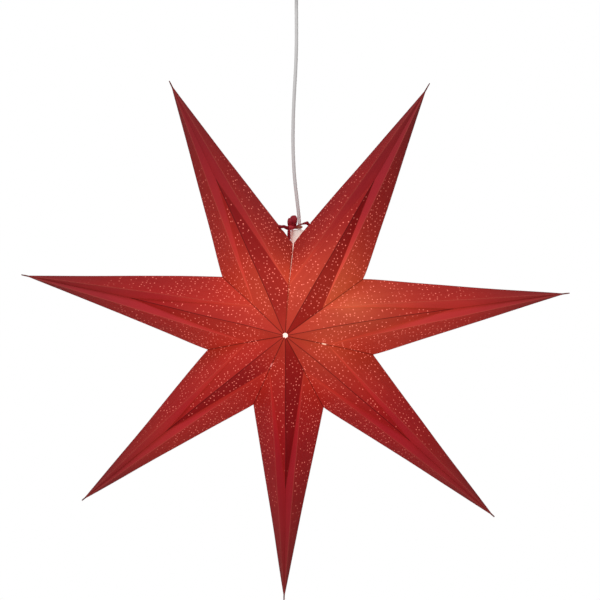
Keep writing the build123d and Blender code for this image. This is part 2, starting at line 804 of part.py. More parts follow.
def tie_bow():
    """The tied ribbon: its loop round the cord, the knot, one standing bow loop and a loose end."""
    loop_radius = cord_radius + soft_clearance
    holder_axis = Vector(holder_x, holder_y, tie_middle)
    reach = holder_axis - knot
    band_plane = Plane(origin=knot - Vector(0, 0, ribbon_width / 2), x_dir=reach, z_dir=(0, 0, 1))
    outer = make_hull((
        Pos(reach.length, 0) * Circle(loop_radius + ribbon_thick)
        + Circle(ribbon_thick + ribbon_thick / 2)
    ).edges())
    inner = make_hull((
        Pos(reach.length, 0) * Circle(loop_radius) + Circle(ribbon_thick / 2)
    ).edges())
    tie = extrude(band_plane * (outer - inner), amount=ribbon_width)
    lump = pin(
        knot - Vector(0, knot_length / 2, 0), knot + Vector(0, knot_length / 2, 0), knot_radius
    )
    lump = chamfer(lump.edges().filter_by(GeomType.CIRCLE), knot_edge)
    foot = tie_middle + ribbon_width / 2
    loop = RectangleRounded(bow_depth, bow_height, bow_depth / 2 - snug)
    loop -= RectangleRounded(bow_depth - 2 * bow_thick, bow_height - 2 * bow_thick, bow_depth / 2 - bow_thick - snug)
    sheet = extrude(Plane.YZ * loop, amount=bow_width / 2, both=True)
    shape = make_face(Polyline(
        (-bow_foot / 2, -bow_height / 2), (bow_foot / 2, -bow_height / 2),
        (bow_width / 2, 0), (bow_width / 2, bow_height / 2),
        (-bow_width / 2, bow_height / 2), (-bow_width / 2, 0), close=True,
    ))
    shape = chamfer(shape.vertices().sort_by(Axis.Y)[-2:], bow_corner)
    sheet &= extrude(Plane.XZ * shape, amount=bow_depth, both=True)
    bow = Pos(knot_x + bow_place, knot_y, foot + bow_height / 2) * sheet
    hanging = Pos(knot_x - loose_end_place, knot_y, tie_middle - loose_end_length / 2)
    loose_end = hanging * Box(loose_end_width, bow_thick, loose_end_length)
    return tie + lump + bow + loose_end


def ribbon_strip(start, end, across):
    """A flat length of ribbon between two points, with its width along the given way."""
    way = (end - start).normalized()
    plane = Plane(origin=start, x_dir=across - way * across.dot(way), z_dir=way)
    return extrude(plane * Rectangle(ribbon_width, ribbon_thick), amount=(end - start).length)


def tie_ribbon(side):
    """Ribbon from the knot through the slot in a top arm's edge, knotted outside and inside it."""
    point, inward, along = tie_slot_frame(side)
    slot = in_room(point)
    into = in_room(point + inward) - slot
    edge_way = in_room(point + along) - slot
    outside = slot - into * (edge_knot / 2 + soft_clearance)
    inside = slot + into * stop_knot_place
    low = knot - Vector(0, 0, ribbon_sag)
    way = (outside - low).normalized()
    clear_of_knot = knot_radius + ribbon_thick / 2 + soft_clearance
    start = low + way * (clear_of_knot / math.hypot(way.X, way.Z))
    ribbon = ribbon_strip(start, outside, Vector(0, 0, 1)) + ribbon_strip(outside, inside, edge_way)
    for place, width in ((outside, edge_knot), (inside, stop_knot)):
        lump = Box(width, width, width)
        lump = chamfer(lump.edges(), width * knot_corner_share)
        ribbon += Plane(origin=place, x_dir=edge_way, z_dir=into) * lump
    return ribbon


pieces = {
    "ceiling_strap": ceiling_strap,
    "ceiling_cup": ceiling_cup,
    "cup_screws": cup_screws,
    "gland_body": gland_body,
    "gland_nut": gland_nut,
    "gland_screw": gland_screw,
    "terminal_block": terminal_block,
    "block_screw": block_screw,
    "terminal_screws": terminal_screws,
    "wire_cores": wire_cores,
    "cord_tail": cord_tail,
    "cord": cord,
    "holder_cap": holder_cap,
    "cord_grip": cord_grip,
    "holder_wires": holder_wires,
    "holder_body": holder_body,
    "holder_insert": holder_insert,
    "thread_shell": thread_shell,
    "shell_screws": shell_screws,
    "centre_contact": centre_contact,
    "contact_rivet": contact_rivet,
    "bulb_tip": bulb_tip,
    "bulb_insulator": bulb_insulator,
    "bulb_cap": bulb_cap,
    "bulb_glass": bulb_glass,
    "bulb_stem": bulb_stem,
    "filament_support": filament_support,
    "filaments": filaments,
    "tie_bow": tie_bow,
}
for piece_name, make in pieces.items():
    export_step(make(), f"parts/{piece_name}.step")
for side_name in ("left", "right"):
    export_step(tie_ribbon(side_name), f"parts/tie_ribbon_{side_name}.step")
for arm_name in arm_names:
    export_step(folded_arm(arm_name), f"parts/arm_{arm_name}.step")
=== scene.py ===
# %% [markdown]
# # A folded paper star, lit from inside
# This lesson dresses a star lantern that a drawing program has already built to size. The real one is
# seven creased paper arms glued side by side, tied round a lamp cord that hangs from the ceiling.
# The packed model is loaded first and stays as it is: every new piece is laid over it, in metres.

# %% Load the packed model
import json
import math

import bmesh
import bpy
from mathutils import Euler, Matrix, Vector, noise


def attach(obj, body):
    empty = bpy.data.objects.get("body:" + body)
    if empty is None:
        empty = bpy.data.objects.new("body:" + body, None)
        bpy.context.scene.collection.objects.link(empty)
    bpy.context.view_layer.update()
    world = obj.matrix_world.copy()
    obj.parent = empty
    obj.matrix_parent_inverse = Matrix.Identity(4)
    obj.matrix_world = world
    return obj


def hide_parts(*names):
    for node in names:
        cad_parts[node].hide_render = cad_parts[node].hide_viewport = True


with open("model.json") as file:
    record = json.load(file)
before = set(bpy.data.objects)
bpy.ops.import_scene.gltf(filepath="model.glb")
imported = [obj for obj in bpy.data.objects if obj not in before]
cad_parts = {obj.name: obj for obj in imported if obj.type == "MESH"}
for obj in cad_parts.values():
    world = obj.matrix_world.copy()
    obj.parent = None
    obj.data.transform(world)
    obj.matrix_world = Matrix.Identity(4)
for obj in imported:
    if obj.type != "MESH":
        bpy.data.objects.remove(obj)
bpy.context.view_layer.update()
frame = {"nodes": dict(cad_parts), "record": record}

nodes = frame["nodes"]
MM = 0.001
print("parts from the drawing:", len(nodes))

# %% [markdown]
# ## The camera
# The photograph was taken from about two metres away, level with the star's middle and a few degrees
# to its right. The star's middle falls a little left of the picture's middle and below it, which a
# small lens shift gives without tilting the camera, so upright lines stay upright.

# %% Set up the camera
PICTURE = 600                                # the photograph is this many pixels wide and high
star_middle = Vector((-0.0068, -0.0016, -0.520))
camera_distance = 2.2
camera_angle = math.radians(4.28)            # how far round to the right the camera stands
seen_width = 0.7775                          # width of the view at the star, in metres
middle_seen_at = (291.0, 328.0)              # where the star's middle falls, in pixels

lens = bpy.data.cameras.new("view")
lens.sensor_width = 36.0
lens.lens = lens.sensor_width * camera_distance / seen_width
lens.shift_x = (PICTURE / 2 - middle_seen_at[0]) / PICTURE
lens.shift_y = (middle_seen_at[1] - PICTURE / 2) / PICTURE
camera = bpy.data.objects.new("view", lens)
away = Vector((math.sin(camera_angle), -math.cos(camera_angle), 0))
camera.location = star_middle + away * camera_distance
camera.rotation_euler = (math.radians(90), 0, camera_angle)
bpy.context.scene.collection.objects.link(camera)
bpy.context.scene.camera = camera
bpy.context.scene.view_settings.view_transform = "Standard"
print("lens:", round(lens.lens, 1), "mm")

# %% [markdown]
# ## The hanging cord
# The star and its lamp hang on one white cord, pulled nearly straight by their weight, with the slow
# bends that a cord keeps from having been coiled in its box. A smooth spline through a few points is
# the natural way to make it, because a cord has no corners. The points are the drawing's own.

# %% Hang the cord
CORD_WIDTH = 0.0045
cord_points = [
    (0, 0, -0.0767),
    (0, 0, -0.100),
    (0.0003, 0.0004, -0.144),
    (-0.0005, 0.0010, -0.178),
    (-0.0027, 0.0019, -0.213),
    (-0.0044, 0.0032, -0.250),
    (-0.0048, 0.0046, -0.287),
    (-0.0030, 0.0059, -0.324),
    (0.0009, 0.0068, -0.357),
    (0.0039, 0.0070, -0.3835),
    (0.0039, 0.0070, -0.4024),
]


def round_line(name, points, width):
    """A round cord whose smooth line follows the given points."""
    curve = bpy.data.curves.new(name, "CURVE")
    curve.dimensions = "3D"
    line = curve.splines.new("NURBS")
    line.points.add(len(points) - 1)
    for control, point in zip(line.points, points):
        control.co = (*point, 1)
        control.radius = width / 2
    line.order_u = 3
    line.use_endpoint_u = True
    line.resolution_u = 12
    curve.bevel_depth = 1.0                  # this times each point's own radius
    curve.bevel_resolution = 6
    curve.use_fill_caps = True
    piece = bpy.data.objects.new(name, curve)
    bpy.context.scene.collection.objects.link(piece)
    return piece


pendant_cord = round_line("pendant_cord", cord_points, CORD_WIDTH)
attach(pendant_cord, "cord")
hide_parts("cord")
print("cord points:", len(cord_points))

# %% [markdown]
# ## Writing a material as sums
# A Blender material is a net of small nodes. Wiring each one by hand is slow to read, so a small class
# wraps a node's output and lets it be added, multiplied or compared like a number: each sum adds one
# Math node. A second class holds the material and adds any other node by its type.

# %% A socket that can be used in sums
class Value:
    """A node's output that can be added to, multiplied and compared like a number."""

    def __init__(self, paint, socket):
        self.paint = paint
        self.socket = socket

    def output(self, name):
        """Another output of the same node."""
        return Value(self.paint, self.socket.node.outputs[name])

    def _with(self, operation, *others):
        inputs = dict(enumerate((self, *others)))
        return self.paint.node("ShaderNodeMath", {"operation": operation}, inputs)

    def _after(self, operation, first):
        return self.paint.node("ShaderNodeMath", {"operation": operation}, {0: first, 1: self})

    def __add__(self, other):
        return self._with("ADD", other)

    def __sub__(self, other):
        return self._with("SUBTRACT", other)

    def __rsub__(self, other):
        return self._after("SUBTRACT", other)

    def __mul__(self, other):
        return self._with("MULTIPLY", other)

    def __truediv__(self, other):
        return self._with("DIVIDE", other)

    def __rpow__(self, other):
        return self._after("POWER", other)

    def __lt__(self, other):
        return self._with("LESS_THAN", other)

    def __gt__(self, other):
        return self._with("GREATER_THAN", other)

    __radd__ = __add__
    __rmul__ = __mul__

    def most(self, other):
        return self._with("MAXIMUM", other)

    def between(self, low, high):
        """0 up to low, 1 from high on, and a soft rise between them."""
        settings = {"interpolation_type": "SMOOTHSTEP"}
        return self.paint.node("ShaderNodeMapRange", settings, {0: self, 1: low, 2: high})

    def fades_over(self, reach):
        """1 at 0, and down to about a third of that over each reach."""
        return 2.718 ** (self * (-1 / reach))


print("methods of a socket:", sum(callable(entry) for entry in vars(Value).values()))

# %% A material that adds nodes by type
class Paint:
    """A material, or the world, under work."""

    def __init__(self, owner):
        self.owner = owner
        owner.use_nodes = True
        self.tree = owner.node_tree
        self.tree.nodes.clear()

    def node(self, kind, settings=None, inputs=None, output=0):
        """Adds a node: its settings first, then the numbers or links of its sockets."""
        made = self.tree.nodes.new(kind)
        for key, setting in (settings or {}).items():
            setattr(made, key, setting)
        for key, given in (inputs or {}).items():
            if isinstance(given, Value):
                self.tree.links.new(given.socket, made.inputs[key])
            else:
                made.inputs[key].default_value = given
        return Value(self, made.outputs[output]) if len(made.outputs) else made

    def place(self):
        """Where a point lies on the object, in metres."""
        return self.node("ShaderNodeTexCoord", output="Object")

    def stored(self, name):
        """The vector that a mesh has stored in its corners under a name."""
        return self.node("ShaderNodeAttribute", {"attribute_name": name}, output="Vector")

    def parts_of(self, vector):
        """The three numbers of a vector."""
        x = self.node("ShaderNodeSeparateXYZ", None, {0: vector})
        return x, x.output("Y"), x.output("Z")

    def noise(self, size, detail=2.0, roughness=0.5, where=None):
        """Cloudy noise from 0 to 1, with blotches of about the given size in metres."""
        inputs = {
            "Vector": where or self.place(), "Scale": 1 / size, "Detail": detail, "Roughness": roughness,
        }
        return self.node("ShaderNodeTexNoise", {"noise_dimensions": "3D"}, inputs)

    def mix(self, factor, first, second):
        """A colour between two colours."""
        inputs = {0: factor, 6: self._colour(first), 7: self._colour(second)}
        return self.node("ShaderNodeMix", {"data_type": "RGBA"}, inputs, output=2)

    def times(self, colour, factor):
        """A colour, or a vector, made larger or smaller."""
        given = colour if isinstance(colour, Value) else tuple(colour)
        return self.node("ShaderNodeVectorMath", {"operation": "SCALE"}, {0: given, "Scale": factor})

    def sum_of(self, first, second):
        """Two colours, or two vectors, added."""
        return self.node("ShaderNodeVectorMath", {"operation": "ADD"}, {0: first, 1: second})

    def distance_to(self, point):
        """How far a place on the object is from a point, in metres."""
        inputs = {0: self.place(), 1: tuple(point)}
        return self.node("ShaderNodeVectorMath", {"operation": "DISTANCE"}, inputs, output="Value")

    @staticmethod
    def _colour(given):
        return given if isinstance(given, Value) else (*given, 1)

    def bump(self, height, depth):
        """A surface normal that follows a height from 0 to 1, so many metres deep."""
        return self.node("ShaderNodeBump", None, {"Height": height, "Distance": depth})

    def surface(self, **sockets):
        """Ends the material with one Principled shader, and hands the material over."""
        inputs = {key.replace("_", " "): given for key, given in sockets.items()}
        for key, given in inputs.items():
            if isinstance(given, tuple) and len(given) == 3:
                inputs[key] = (*given, 1)
        shader = self.node("ShaderNodeBsdfPrincipled", None, inputs)
        self.node("ShaderNodeOutputMaterial", None, {"Surface": shader})
        return self.owner


def new_paint(name):
    """An empty material under work."""
    return Paint(bpy.data.materials.new(name))


print("helpers of a material:", ", ".join(name for name in vars(Paint) if not name.startswith("_")))

# %% [markdown]
# ## The room
# The lantern is shown on plain white. The world looks white to the camera, and gives a weaker plain
# light. The key lamp stands high in front and a little to the left, because in the photograph the
# panels that face up and left are the lighter ones. A low lamp stands in for light off a white table.

# %% White world, pale floor and lamps
WORLD_LIGHT = 0.22
FLOOR_HEIGHT = -2.4
FLOOR_RADIUS = 2.6

world = bpy.data.worlds.new("studio")
bpy.context.scene.world = world
room = Paint(world)
ray = room.node("ShaderNodeLightPath")
looks_at_it = ray.most(ray.output("Is Glossy Ray")).most(ray.output("Is Transmission Ray"))
plain = room.node("ShaderNodeBackground", None, {"Color": (1, 1, 1, 1), "Strength": WORLD_LIGHT})
white = room.node("ShaderNodeBackground", None, {"Color": (1, 1, 1, 1), "Strength": 1.0})
seen = room.node("ShaderNodeMixShader", None, {0: looks_at_it, 1: plain, 2: white})
room.node("ShaderNodeOutputWorld", None, {"Surface": seen})

floor_mesh = bpy.data.meshes.new("floor")
floor_form = bmesh.new()
bmesh.ops.create_circle(floor_form, cap_ends=True, segments=96, radius=FLOOR_RADIUS)
floor_form.to_mesh(floor_mesh)
floor_form.free()
floor = bpy.data.objects.new("floor", floor_mesh)
floor.location.z = FLOOR_HEIGHT
bpy.context.scene.collection.objects.link(floor)
floor_paint = new_paint("pale_floor")
floor_mesh.materials.append(floor_paint.surface(
    Base_Color=floor_paint.mix(floor_paint.noise(0.02), (0.84, 0.84, 0.83), (0.88, 0.88, 0.87)),
    Roughness=0.8,
))


def soft_lamp(name, place, size, strength):
    """A square lamp that shines on the star's middle."""
    light = bpy.data.lights.new(name, "AREA")
    light.size = size
    light.energy = strength
    lamp = bpy.data.objects.new(name, light)
    lamp.location = place
    lamp.rotation_euler = (star_middle - Vector(place)).to_track_quat("-Z", "Y").to_euler()
    bpy.context.scene.collection.objects.link(lamp)


soft_lamp("key", (-0.44, -1.31, 1.44), 0.9, 24.6)
soft_lamp("low", (0.0, -1.1, -2.3), 1.4, 11.6)
soft_lamp("back", (0.6, 2.2, 0.6), 1.6, 23)
print("lamps:", len(bpy.data.lights), "floor at", FLOOR_HEIGHT, "metres")

# %% [markdown]
# ## The fold pattern
# Each arm is a sheet with mountain and valley folds: a middle ridge that turns into a groove, and a
# mountain fold along each shoulder. The drawing has the flat panels exactly. Writing the corners down
# once more lets every small face of the paper know its own panel and how far off its folds are.

# %% Corners of the folded panels
TIP_RADIUS, NOTCH_RADIUS, TOP_NOTCH_RADIUS = 350 * MM, 111 * MM, 108 * MM
TAIL_RADIUS = 360 * MM
SHOULDER_RADIUS, TOP_SHOULDER_RADIUS, SHOULDER_DEPTH = 53 * MM, 59 * MM, 54 * MM
PIT_RADIUS, PIT_DEPTH, HUB_DEPTH = 212 * MM, 15.5 * MM, 89 * MM
PAPER = 0.7 * MM
GAP_ANGLE = 0.371                            # half the opening of the top seam, in degrees
arm_bearings = {
    "upper_right": 27.85, "right": 80.7, "lower_right": 131.2, "bottom": 180.0,
    "lower_left": 228.8, "left": 279.3, "upper_left": 332.15,
}
reach_shares = {"upper_left": 0.985}
pit_shares = {"upper_right": 1.033, "upper_left": 1.016, "bottom": 0.984}
arm_names = list(arm_bearings)
bearings = list(arm_bearings.values())
seams = [GAP_ANGLE] + [(a + b) / 2 for a, b in zip(bearings, bearings[1:])] + [360 - GAP_ANGLE]
star_tilt = Euler((math.radians(5), math.radians(1.9), 0), "ZYX")
star_frame = Matrix.Translation(star_middle) @ star_tilt.to_matrix().to_4x4()


def star_point(radius, bearing, y):
    """A point of the star by its radius, its bearing clockwise from straight up, and its depth."""
    turn = math.radians(bearing)
    return star_frame @ Vector((radius * math.sin(turn), y, radius * math.cos(turn)))


def panels_of(number):
    """An arm's front and back panels: the kind and the three corners of each.

    A mountain fold joins the second corner to the third. A seam or a fold joins the first to the
    second, and the middle crease, the groove or the rim joins the first to the third.
    """
    name, bearing = arm_names[number], bearings[number]
    tip = star_point(TIP_RADIUS * reach_shares.get(name, 1), bearing, 0)
    found = []
    for side in (-1, 1):
        hub = star_point(0, 0, HUB_DEPTH * side)
        pit = star_point(PIT_RADIUS * pit_shares.get(name, 1), bearing, PIT_DEPTH * side)
        for seam in (number, number + 1):
            top = seam in (0, len(seams) - 1)
            shoulder_radius = TOP_SHOULDER_RADIUS if top else SHOULDER_RADIUS
            shoulder = star_point(shoulder_radius, seams[seam], SHOULDER_DEPTH * side)
            notch = star_point(TOP_NOTCH_RADIUS if top else NOTCH_RADIUS, seams[seam], 0)
            found.append(("middle", (hub, shoulder, pit)))
            found.append(("groove", (pit, shoulder, tip)))
            found.append(("side", (notch, shoulder, tip)))
    return found


drawn_corners = [vertex.co for vertex in nodes["arm_right"].data.vertices]
shoulders = [corners[1] for _, corners in panels_of(arm_names.index("right"))[1:3]]
shoulder_miss = max(min((co - shoulder).length for co in drawn_corners) for shoulder in shoulders)
print("the pattern's shoulder misses the drawing's by", round(shoulder_miss / MM, 3), "mm")

# %% [markdown]
# ## The paper
# Punched star paper is red card with hundreds of pin-sized dots that let more light through. The dots
# lie on the middle and side panels and leave the grooves plain. The glow is strongest near the lamp,
# so the light that comes through is worked out from the distance to the bulb, and the inside of the
# paper, which the lamp lights directly, is far brighter than the outside.

# %% The punched red paper
LAMP = Vector((0.0039, 0.0070, -0.4766))
GLOW_MIDDLE = Vector((0.0067, 0.0070, -0.4964))
GLOW_REACH = 131 * MM
WARM_PATCH = Vector((0.073, -0.060, -0.480))
WARM_REACH = 34 * MM
DOT_REACH = 285.7 * MM                       # how far from the lamp the dots grow much dimmer
INSIDE_REACH = 85 * MM                       # the same for the paper's inside
SHADE_COSINE, SHADE_BLUR = 0.813, 0.3        # the edge of the holder's shadow, and its softness
DOT_SPACING = 5.2 * MM
PANEL_KINDS = {"middle": 0.0, "groove": 1.0, "side": 2.0, "flap": 3.0}
# How much of the lamp's light each kind of panel lets through, and four panels with painted shade,
# darker in colour and in glow.
CARD_PASSES = {"middle": 0.96, "groove": 1.42, "side": 1.04, "flap": 1.0}
SHADED_PANEL_PASSES = 0.62
shaded_panels = {                             # how much painted shade, and from which radius on, in millimetres
    ("upper_right", 3): (1.0, 0),
    ("bottom", 0): (1.0, 10),
    ("lower_left", 0): (0.9, 60),
    ("upper_left", 3): (0.85, 25),
}
SHADE_RISE_START, SHADE_RISE_OVER = 40, 60             # millimetres before that radius, and over which it grows
SHADE_COOLS = 0.6                            # the share of the warm glow that painted shade takes away
glow_patches = [                               # places where the painted glow is stronger or weaker: across, up, reach, then change of red and of warmth
    (-11, -678, 95, -0.25, -0.70), (133, -645, 62, -0.07, -0.55), (90, -372, 75, -0.05, -0.45),
    (-27, -466, 48, 0.08, 0.75), (40, -545, 42, 0.08, 0.55), (238, -474, 80, 0.38, 0.0),
    (-150, -690, 80, 0.45, 0.15), (-150, -625, 34, -0.10, -0.45), (-180, -480, 34, -0.02, -0.35),
    (78, -532, 26, -0.12, -0.40), (112, -467, 34, 0.03, 0.35),
]
seam_gaps = [                                # seam, how far out from the hub, and the light through it
    (2, 0.91, (0.85, 0.62, 0.46)),
    (4, 0.875, (0.62, 0.24, 0.22)),
]


def red_paper():
    """Red card with pin dots and the lamp's glow, folds paler from wear and painted highlight, and
    painted shade along the creases and on four panels.
    """
    paint = new_paint("red_paper")
    kind, radius, inner = paint.parts_of(paint.stored("panel"))
    # The last of the card numbers is painted shade on four panels, which darkens their colour and dims
    # their glow.
    passing, warmth, thick = paint.parts_of(paint.stored("card"))
    mountain, second, third = paint.parts_of(paint.stored("fold"))
    flat = paint.stored("flat")

    cells = paint.node("ShaderNodeTexVoronoi", {"voronoi_dimensions": "2D"}, {
        "Vector": flat, "Scale": 1 / DOT_SPACING, "Randomness": 0.92,
    })
    chance, strength, _ = paint.parts_of(cells.output("Color"))
    spot = 1 - cells.between(0.10, 0.19)
    is_side = (kind > 1.5) * (kind < 2.5)
    is_middle = kind < 0.5
    is_panel = kind < 2.5
    is_groove = (1 - is_side - is_middle) * is_panel
    fading = paint.noise(30 * MM) * 60 * MM + radius
    on_side = is_side * (1 - fading.between(0.23, 0.31)) * (chance > radius * 1.3 + 0.30)
    on_middle = is_middle * radius.between(0.024, 0.044) * (chance > radius * 3 + 0.08)
    clear_of_folds = mountain.between(0.8 * MM, 2.2 * MM) * second.between(0.8 * MM, 2.0 * MM)
    dots = spot * (on_side + on_middle) * clear_of_folds * (strength * 0.8 + 0.3)

    fibres = paint.noise(0.9 * MM, 4, 0.7)
    clouds = paint.noise(45 * MM, 3)
    stretched = paint.node("ShaderNodeVectorMath", {"operation": "MULTIPLY"}, {0: flat, 1: (0.13, 1, 1)})
    streaks = paint.noise(7 * MM, 3, 0.6, where=stretched)
    # The paler line along the mountain folds is partly a worn crease and partly a painted highlight
    # where the rounded fold meets the light.
    worn_and_lit_folds = (1 - mountain.between(0.2 * MM, 1.5 * MM)) * (1 - is_middle * 0.6) * is_panel
    # The dark lines along the creases and seams are painted shade, at the seams also a darker glued
    # joint, and they dim the glow as well.
    seam = (1 - third.between(0.1 * MM, 1.0 * MM)) * (1 - is_groove)
    valley = 1 - second.between(0.1 * MM, 0.9 * MM)
    ends = radius.between(0.22, 0.35)
    crease_and_seam_shade = seam.most(valley * (1 - is_groove * 0.72)) * is_panel
    rim = mountain / (mountain + second + 0.001) * is_side

    red = paint.mix(clouds, (0.275, 0.0080, 0.014), (0.335, 0.0115, 0.0175))
    red = paint.mix(fibres.between(0.35, 0.75) * 0.2, red, (0.40, 0.026, 0.030))
    red = paint.mix(streaks.between(0.45, 0.75) * 0.22, red, (0.38, 0.030, 0.034))
    red = paint.mix(is_groove, red, paint.sum_of(red, (0.008, 0.0065, 0.019)))
    # Painted shade: four panels darker in colour.
    red = paint.mix(thick * 0.38, red, (0, 0, 0))
    red = paint.mix(ends * is_panel * 0.8, red, (0.27, 0.032, 0.038))
    red = paint.mix(rim * (ends * 0.4 + 0.2), red, (0.085, 0.0070, 0.0075))
    red = paint.mix(ends * (1 - is_panel), red, (0.13, 0.034, 0.028))
    red = paint.mix(worn_and_lit_folds * (0.45 - ends * 0.1), red, (0.43, 0.09, 0.07))
    red = paint.mix(crease_and_seam_shade * 0.75, red, (0.055, 0.0028, 0.0041))
    red = paint.mix(dots * 0.7, red, (0.48, 0.14, 0.11))

    settings = {"operation": "SUBTRACT"}
    from_middle = paint.node("ShaderNodeVectorMath", settings, {0: paint.place(), 1: tuple(GLOW_MIDDLE)})
    _, _, up = paint.parts_of(from_middle)
    away = paint.distance_to(GLOW_MIDDLE)
    in_shade = (up / away).between(SHADE_COSINE - SHADE_BLUR, SHADE_COSINE + SHADE_BLUR)
    wide = away.fades_over(GLOW_REACH) * (1 - in_shade * 0.72) * passing
    warm = paint.distance_to(WARM_PATCH).fades_over(WARM_REACH)
    glow = paint.times((0.62, 0, 0.004), wide)
    glow = paint.sum_of(glow, paint.times((0, 0.044, 0.014), wide * warmth))
    glow = paint.sum_of(glow, paint.times((0.10, 0.090, 0.030), warm * (1 - thick * 0.7)))
    uneven = (clouds * 0.3 + 0.85) * (streaks * 0.3 + 0.85)
    glow = paint.times(glow, (1 - crease_and_seam_shade * 0.7) * uneven * (1 - rim * 0.15))
    through_dots = dots * (away.fades_over(DOT_REACH) * 0.75 + 0.25)
    glow = paint.sum_of(glow, paint.times((0.98, 0.26, 0.20), through_dots))
    hub = star_point(0, 0, -HUB_DEPTH)
    for seam_number, share, colour in seam_gaps:
        gap = hub.lerp(star_point(SHOULDER_RADIUS, seams[seam_number], -SHOULDER_DEPTH), share)
        near_gap = 1 - paint.distance_to(gap).between(2.0 * MM, 4.2 * MM)
        on_seam = 1 - third.between(0.5 * MM, 1.3 * MM)
        glow = paint.sum_of(glow, paint.times(colour, near_gap * on_seam))
    inside = paint.times((3.1, 2.8, 2.5), paint.distance_to(LAMP).fades_over(INSIDE_REACH))
    glow = paint.mix(inner, glow, inside)
    grain = fibres * 0.4 + dots * 0.6
    return paint.surface(
        Base_Color=red, Roughness=0.74 - fibres * 0.12, Specular_IOR_Level=0.10,
        Normal=paint.bump(grain, 0.12 * MM), Emission_Color=glow, Emission_Strength=1.0,
    )


red_paper_finish = red_paper()
print("nodes in the paper:", len(red_paper_finish.node_tree.nodes))

# %% [markdown]
# ## The paper arms
# A copy of each drawn arm is the best start for the real paper, since it has the slots and the opening
# for the lamp holder. Cutting the copy into small faces lets it take the slight buckle that creased
# card has. The buckle is one slow wave through space, so glued neighbours stay together.

# %% Cut a drawn arm into small faces
LONGEST_EDGE = 13 * MM
MOST_CUTS = 8
SAME_WAY = 0.999                             # cosine of the angle between a panel and its small faces
BUCKLE, BUCKLE_LENGTH = 0.55 * MM, 75 * MM
noise.seed_set(7)                            # without a seed, the buckle would differ from run to run


def cut_small(form, longest):
    """Splits long edges until every face is small."""
    for _ in range(MOST_CUTS):
        long_edges = [edge for edge in form.edges if edge.calc_length() > longest]
        if not long_edges:
            break
        bmesh.ops.subdivide_edges(form, edges=long_edges, cuts=1)
        bmesh.ops.triangulate(form, faces=[face for face in form.faces if len(face.verts) > 3])


def distance_to_line(point, start, end):
    """How far a point is from the line through two others."""
    way = (end - start).normalized()
    return ((point - start) - way * (point - start).dot(way)).length


def inside_panel(point, corners, slack):
    """Whether a point lies over a three-cornered panel, or within the slack of it."""
    middle = sum(corners, Vector()) / 3
    for index in range(3):
        start, end = corners[index], corners[(index + 1) % 3]
        side = distance_to_line(middle, start, end)
        way = (end - start).normalized()
        across = (middle - start) - way * (middle - start).dot(way)
        if (point - start).dot(across.normalized()) < -min(slack, side):
            return False
    return True


def panel_under(face, panels):
    """The number of the panel that a small face belongs to, and whether it is on the paper's inside."""
    centre = face.calc_center_median()
    for number, (kind, corners) in enumerate(panels):
        normal = (corners[1] - corners[0]).cross(corners[2] - corners[0]).normalized()
        off = normal.dot(centre - corners[0])
        if abs(normal.dot(face.normal)) < SAME_WAY or abs(off) > 2 * PAPER:
            continue
        if inside_panel(centre, corners, 4 * PAPER):
            outwards = 1 if normal.dot(corners[0] - star_middle) > 0 else -1
            return number, face.normal.dot(normal) * outwards < 0
    return None, False


print("edges are cut down to", round(LONGEST_EDGE / MM), "mm")

# %% [markdown]
# ## Folded by hand
# A star that was folded and glued by hand is never quite its pattern: its notches, edges and tips lie
# a millimetre or two off. A few smooth shifts of the small faces' corners give that. They could be
# drawn into the pattern, but as shifts they keep glued neighbours together and the folds sharp.

# %% How the hand-folded star strays from the pattern
NOTCH_PULL = 45 * MM                         # how far round a notch its own shift is felt
EDGE_PULL = 30 * MM                          # the same beside a swollen edge
HUB_PULL = 38 * MM                           # the same round the hub
HUB_SHIFT = Vector((-0.6, 0, -2.0))          # millimetres
TURN_FROM, TURN_OVER = 110 * MM, 240 * MM    # where along an arm it starts to lean, and over how far
STRETCH_FROM, STRETCH_OVER = 220 * MM, 130 * MM
notch_shifts = [                             # outwards and clockwise, in millimetres, from the top on
    (1.6, 0.0), (2.1, -0.6), (0.6, 0.5), (0.6, 0.9), (0.7, 0.1), (1.7, -1.0), (0.1, -1.4), (1.3, 0.0),
]
arm_shifts = {                               # tip clockwise, swell of both edges, extra length
    "upper_right": (0.3, 1.9, 1.9, 2.5),
    "right": (1.5, 1.2, 1.2, 5.5),
    "lower_right": (-0.3, 0.2, 1.0, 9.0),
    "bottom": (0.0, 0.1, 0.5, 7.0),
    "lower_left": (-0.6, 0.4, 0.8, 9.0),
    "left": (0.1, 1.1, 0.6, 5.0),
    "upper_left": (0.1, 1.0, 0.8, 5.0),
}


def soft_step(share):
    """0 up to 0, 1 from 1 on, and a soft rise between."""
    share = min(1, max(0, share))
    return share * share * (3 - 2 * share)


def bell(far):
    """1 at 0, and a soft fall to nothing from about 2 on."""
    return math.exp(-far ** 2)


def compass(bearing):
    """The way across the flat pattern that has a bearing clockwise from straight up."""
    turn = math.radians(bearing)
    return Vector((math.sin(turn), 0, math.cos(turn)))


def clockwise_of(way):
    """A way across the flat pattern, turned a quarter clockwise."""
    return Vector((way.z, 0, -way.x))


def notch_of(seam):
    """Where a seam of the flat pattern ends, and the way out to there."""
    outwards = compass(seams[seam])
    return outwards * (TOP_NOTCH_RADIUS if seam in (0, len(seams) - 1) else NOTCH_RADIUS), outwards


